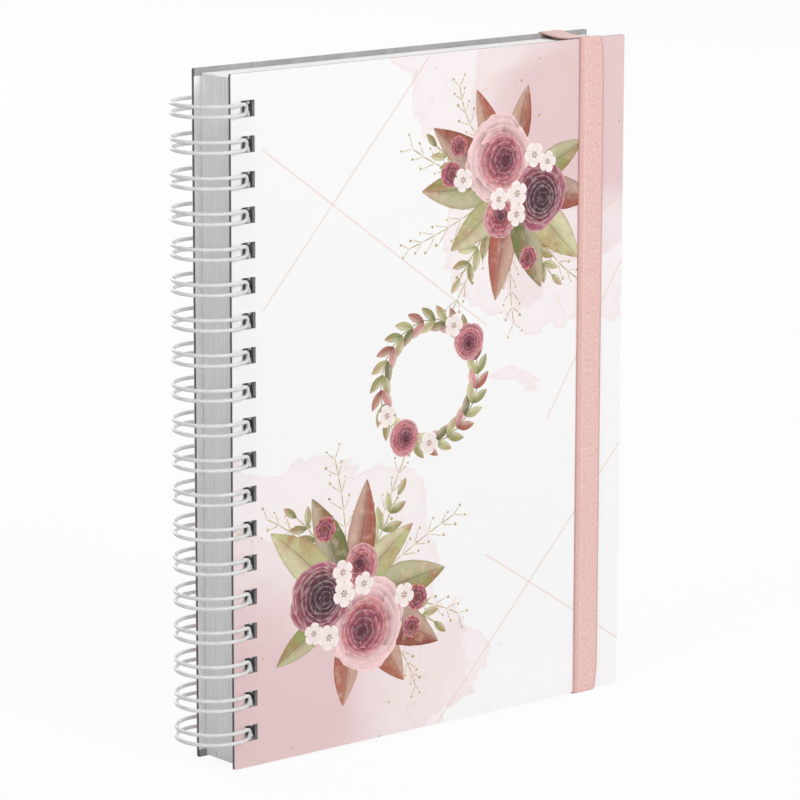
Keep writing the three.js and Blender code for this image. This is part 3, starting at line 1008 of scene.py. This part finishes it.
# %% Leaf ink
leaf_material, start = new_material("leaf_ink", {"Specular IOR Level": 0.45})
u, v = map_place(start)
tint = start.node("Attribute", {"attribute_name": "tint"}, output="Color")
x, y, z = place_in_mm(start)
bloom = noise(start, vector(start, x, z), 0.22, 4.0, 0.6)
wet = noise(start, vector(start, x, z, 5.0), 0.12, 3.0, 0.5, 0.6)
across = abs(u)
rib = across.fade(0.08, 0.02)
vein_wave = v * 8.0 - across * 2.6
veins = vein_wave.math("PINGPONG", vein_wave, 0.5).fade(0.09, 0.01) * across.fade(1.0, 0.4)
ink = glaze(
    tint,
    (wet.fade(0.35, 0.62) * v.fade(0.1, 0.9), 0.65, srgb(172, 104, 76)),
    (u.fade(-0.6, 0.7) * v.fade(0.05, 0.4), 0.3, srgb(252, 246, 226)),
    (bloom.fade(0.48, 0.8), 0.4, srgb(248, 226, 204)),
    (across.fade(0.45, 0.0) * v.fade(1.0, 0.2), 0.4, (0.52, 0.46, 0.42, 1), "MULTIPLY"),
    (v.fade(0.5, 0.0), 0.45, (0.42, 0.36, 0.34, 1), "MULTIPLY"),
    (rib.either(veins * 0.5), 0.5, (0.5, 0.4, 0.36, 1), "MULTIPLY"),
    (across.fade(0.8, 0.98), 0.35, (0.56, 0.44, 0.38, 1), "MULTIPLY"))
feed(leaf_material, Base_Color=ink, Roughness=bloom.fade(0.3, 0.7, 0.36, 0.44))

# %% Gold ink
gold_material, start = new_material("gold_ink", {"Specular IOR Level": 0.5})
x, y, z = place_in_mm(start)
glint = noise(start, vector(start, x, z), 0.6, 3.0)
gold = glint.fade(0.35, 0.65).paint(srgb(168, 150, 100), srgb(216, 198, 152))
feed(gold_material, Base_Color=gold, Roughness=glint.fade(0.3, 0.7, 0.3, 0.45),
     Metallic=glint.fade(0.3, 0.7, 0.1, 0.3))

# %% [markdown]
# ## Motifs
#
# Four small drawings make up the whole print: a many-petalled flower, an open blossom, a
# leafy sprig and a gold twig with berries. A spray gathers them round a middle, and a
# wreath strings them round a ring. Every angle and tone wanders a little, from a seeded
# chance, so that nothing looks stamped and each run draws the same sheet.

# %% Flowers
DRIFT, PETAL_OVERLAP, PETAL_WIDEST = 0.03, 1.45, 0.68
BLOSSOM_PETALS, STAMENS, STAMEN_LENGTH = 5, 6, 0.32


def pompon(ink_print, place, radius, tints, level, rings, petals):
    """A many-petalled round flower: rings of petals, each smaller and laid on the last."""
    chance = ink_print.chance
    ink_print.level = level
    drift = heading(chance.uniform(0, math.tau)) * radius * DRIFT
    for ring in range(rings):
        left_over = 1 - ring / rings
        count = max(5, round(petals * left_over ** 0.35))
        turned = chance.uniform(0, math.tau)
        for index in range(count):
            angle = turned + math.tau * index / count + chance.uniform(-0.1, 0.1)
            length = radius * left_over ** 0.9 * chance.uniform(0.92, 1.05)
            tint = vary(between(tints, ring / (rings - 1)), chance, 0.1)
            width = length * math.tau / count * PETAL_OVERLAP
            ink_print.petal(Vector(place) + drift * ring, angle, length, width, tint,
                            widest=PETAL_WIDEST, curl=chance.uniform(-0.06, 0.06))


def blossom(ink_print, place, radius, tint, level):
    """A small open flower of five round petals with stamens."""
    chance = ink_print.chance
    ink_print.level = level
    turned = chance.uniform(0, math.tau)
    for index in range(BLOSSOM_PETALS):
        angle = turned + math.tau * index / BLOSSOM_PETALS
        ink_print.petal(place, angle, radius, radius * 0.9, vary(tint, chance, 0.03), widest=0.7)
    for index in range(STAMENS):
        angle = turned + math.tau * index / STAMENS + 0.3
        ink_print.petal(place, angle, radius * STAMEN_LENGTH, radius * STAMEN_LENGTH / 2,
                        vary(STAMEN, chance), STROKE_BLANK, widest=0.8)


# %% Sprigs and twigs
LEAF_SLIMNESS, SPRIG_STEM, TWIG_WIDTH = 0.4, 0.7, 0.34


def sprig(ink_print, place, angle, length, count, leaf, tints, level, bend):
    """Leaves in pairs along a bending stem, the last one at its tip."""
    chance = ink_print.chance
    ink_print.level = level
    spot, run = Vector(place), length / count
    for step in range(count):
        size = leaf * (1 - 0.45 * step / count)
        ink_print.petal(spot, angle, run * 1.15, SPRIG_STEM, tints[0], STROKE_BLANK)
        for side in (-1, 1):
            turn = angle + side * chance.uniform(0.6, 0.95)
            tint = vary(chance.choice(tints), chance)
            ink_print.petal(spot, turn, size, size * LEAF_SLIMNESS, tint,
                            LEAF_BLANK, ends=POINTED, curl=side * -0.1)
        spot = spot + heading(angle) * run
        angle += bend / count
    tip = leaf * 0.6
    tint = vary(chance.choice(tints), chance)
    ink_print.petal(spot, angle, tip, tip * LEAF_SLIMNESS, tint, LEAF_BLANK, ends=POINTED)


def gold_twig(ink_print, place, angle, length, count, level, bend):
    """A thin gold stem with two short branches and their berries at each step."""
    chance = ink_print.chance
    ink_print.level = level
    spot, run = Vector(place), length / count
    for step in range(count):
        ink_print.petal(spot, angle, run * 1.1, TWIG_WIDTH * 1.5, GOLD, STROKE_BLANK)
        spot = spot + heading(angle) * run
        angle += bend / count
        for side in (-1, 1):
            turn = angle + side * chance.uniform(0.4, 0.75)
            reach = run * chance.uniform(0.75, 1.15) * (1.3 - 0.7 * step / count)
            berry = chance.uniform(0.9, 1.5)
            ink_print.petal(spot, turn, reach, TWIG_WIDTH, GOLD, STROKE_BLANK, curl=side * 0.08)
            ink_print.petal(spot + heading(turn) * reach, turn, berry, berry * 0.9, GOLD,
                            ends=0.6, curl=side * 0.08)


# %% What a spray is made of
# Turn from the spray's direction, length, and colour
BIG_LEAVES = ((-1.75, 32, RUST), (-1.25, 38, DARK_RUST), (-0.7, 38, OLIVE), (-0.15, 32, PALE_OLIVE),
              (0.35, 38, RUST), (0.85, 36, DEEP_OLIVE), (1.35, 38, PALE_OLIVE),
              (1.9, 32, DARK_RUST), (2.6, 27, OLIVE), (-2.5, 27, RUST))
TWIGS = ((-1.55, 44), (-1.0, 52), (-0.4, 56), (0.12, 58), (0.62, 54), (1.2, 50))
SPRIGS = ((-1.1, 34), (0.05, 36), (1.05, 34))
# Place across and forward from the middle, and radius; a flower has its rings and petals too
PALE_FLOWER, DARK_FLOWER, SMALL_FLOWER = (-12, 0, 17, 8, 9), (13, -2, 13.5, 7, 9), (3, 16, 8, 5, 7)
SPRAY_FLOWERS = ((PALE_FLOWER, (PALE_PINK, PALE_PINK, ROSE, MAUVE, BURGUNDY)),
                 (DARK_FLOWER, (MAUVE, BURGUNDY, PLUM, PLUM)),
                 (SMALL_FLOWER, (DUSTY_PINK, ROSE, BURGUNDY)))
BUDS = ((-27, 18, 4.8), (-31, 8, 4.0), (25, 19, 4.4))
BLOSSOMS = ((4, 4, 5.0), (-2, 11, 4.4), (9, 10, 4.6), (1, -12, 4.8), (8, -14, 4.2), (-21, 16, 4.6))
# Heights above the sheet, and the step to what lies beside and over, in millimetres
TWIG_LEVEL, SPRIG_LEVEL, LEAF_LEVEL, FLOWER_LEVEL = 0.01, 0.045, 0.075, 0.085
BESIDE, OVER = 0.004, 0.035
TWIG_START, SPRIG_START, LEAF_START = 16, 17, 8
TWIG_LENGTH, SPRIG_LENGTH, SPRIG_LEAF, STALK = 0.72, 0.75, 12, 0.5
TWIG_STEPS, SPRIG_STEPS, BUD_RINGS, BUD_PETALS = 6, 4, 3, 6
print("a spray:", len(BIG_LEAVES), "leaves,", len(TWIGS), "twigs,", len(BLOSSOMS), "blossoms")


# %% Sprays
def spray(flowers, leaves, lines, centre, toward, size):
    """A corner spray: leaves that point out of a group of flowers, with sprigs and twigs."""
    middle, chance = Vector(centre), leaves.chance
    forward, across = heading(toward), heading(toward + math.pi / 2)
    for index, (turn, reach) in enumerate(TWIGS):
        base = middle + heading(toward + turn) * TWIG_START * size
        gold_twig(lines, base, toward + turn, reach * size * TWIG_LENGTH, TWIG_STEPS,
                  TWIG_LEVEL + index * BESIDE, turn / 2)
    for index, (turn, reach) in enumerate(SPRIGS):
        base = middle + heading(toward + turn) * SPRIG_START * size
        sprig(leaves, base, toward + turn, reach * size * SPRIG_LENGTH, SPRIG_STEPS,
              SPRIG_LEAF * size, (PALE_OLIVE, OLIVE), SPRIG_LEVEL + index * BESIDE, turn / 2)
    leaves.level = LEAF_LEVEL
    for turn, reach, tint in BIG_LEAVES:
        angle, length = toward + turn + chance.uniform(-0.08, 0.08), reach * size
        width = length * chance.uniform(0.34, 0.44)
        leaves.petal(middle + heading(angle) * LEAF_START * size, angle, length, width,
                     vary(tint, chance, 0.1), LEAF_BLANK, widest=0.44, ends=POINTED,
                     curl=chance.uniform(0.08, 0.18) * math.copysign(1, turn))
    for layer, ((a, f, radius, rings, petals), tints) in enumerate(SPRAY_FLOWERS):
        pompon(flowers, middle + (across * a + forward * f) * size, radius * size, tints,
               FLOWER_LEVEL + layer * OVER, rings, petals)
    lines.level = TWIG_LEVEL + len(TWIGS) * BESIDE
    for a, f, radius in BUDS:
        bud = (across * a + forward * f) * size
        lines.petal(middle, math.atan2(bud.y, bud.x), bud.length, STALK, GOLD, STROKE_BLANK)
        pompon(flowers, middle + bud, radius * size, (ROSE, MAUVE, RUST), FLOWER_LEVEL,
               BUD_RINGS, BUD_PETALS)
    for index, (a, f, radius) in enumerate(BLOSSOMS):
        blossom(flowers, middle + (across * a + forward * f) * size, radius * size, CREAM,
                FLOWER_LEVEL + (len(SPRAY_FLOWERS) + index / 4) * OVER)


# %% The wreath
WREATH_STEPS = 26
WREATH_TINTS = ((OLIVE, PALE_OLIVE), (RUST, DUSTY_PINK), (PALE_OLIVE, DEEP_OLIVE))
WREATH_LEAF, WREATH_LEAF_TURN, WREATH_STEM = (8.8, 3.5), 0.62, 0.55
WREATH_FLOWER, WREATH_RINGS, WREATH_PETALS, WREATH_BLOSSOM = 7.2, 5, 8, 4.4
WREATH_PINKS = (DUSTY_PINK, ROSE, MAUVE, BURGUNDY)
# Each flower's angle round the ring, and whether it has many petals
WREATH_FLOWERS = ((3.6, False), (4.15, True), (4.7, False), (0.6, True), (1.05, False))


def wreath(flowers, leaves, centre, radius):
    """A ring of small leaves with a few flowers, in the middle of the cover."""
    leaves.level = SPRIG_LEVEL
    for step in range(WREATH_STEPS):
        around = math.tau * step / WREATH_STEPS
        spot, tangent = Vector(centre) + heading(around) * radius, around + math.pi / 2
        stem = math.tau * radius / WREATH_STEPS * 1.2
        leaves.petal(spot, tangent, stem, WREATH_STEM, OLIVE, STROKE_BLANK)
        for side, tint in zip((-1, 1), WREATH_TINTS[step % len(WREATH_TINTS)]):
            leaves.petal(spot, tangent + side * WREATH_LEAF_TURN, *WREATH_LEAF,
                         vary(tint, leaves.chance), LEAF_BLANK, ends=POINTED, curl=side * -0.06)
    for around, many_petalled in WREATH_FLOWERS:
        spot = Vector(centre) + heading(around) * radius
        if many_petalled:
            pompon(flowers, spot, WREATH_FLOWER, WREATH_PINKS, FLOWER_LEVEL + OVER,
                   WREATH_RINGS, WREATH_PETALS)
        else:
            blossom(flowers, spot, WREATH_BLOSSOM, CREAM, FLOWER_LEVEL + 2 * OVER)


# %% Lay the prints on both covers
# A spray is its middle, direction and size; the wreath is its middle and radius
FRONT_SPRAYS, FRONT_WREATH = [((52, 52), 0.95, 1.05), ((134, 204), -2.3, 1.0)], ((92, 132), 23)
BACK_SPRAYS = [((146, 48), 2.2, 0.9)]
FRONT_CHANCE, BACK_CHANCE = 5, 9


def print_cover(side, face, outward, left, direction, sprays, middle, seed):
    """Lays one cover's sprays and wreath, a piece for each of the three inks."""
    flowers, leaves, lines = (Print(face, outward, left, direction, seed + part) for part in range(3))
    for centre, toward, size in sprays:
        spray(flowers, leaves, lines, centre, toward, size)
    if middle:
        wreath(flowers, leaves, *middle)
    body = side + "_cover"
    flowers.finish(side + "_flower_print", ink_material, body)
    leaves.finish(side + "_leaf_print", leaf_material, body)
    lines.finish(side + "_gold_print", gold_material, body)


print_cover("front", FRONT_FACE, -1, COVER_LEFT, 1, FRONT_SPRAYS, FRONT_WREATH, FRONT_CHANCE)
print_cover("back", BACK_FACE, 1, COVER_RIGHT, -1, BACK_SPRAYS, None, BACK_CHANCE)

# %% [markdown]
# ## Measure and finish
#
# The CAD model's box and the dressed planner's box are both printed.

# %% Boxes and finish
visual_box = [list(corner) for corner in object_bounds()]
for name, corners in (("CAD box", cad_box), ("visual box", visual_box)):
    print(name, [[round(value / MM, 2) for value in corner] for corner in corners])
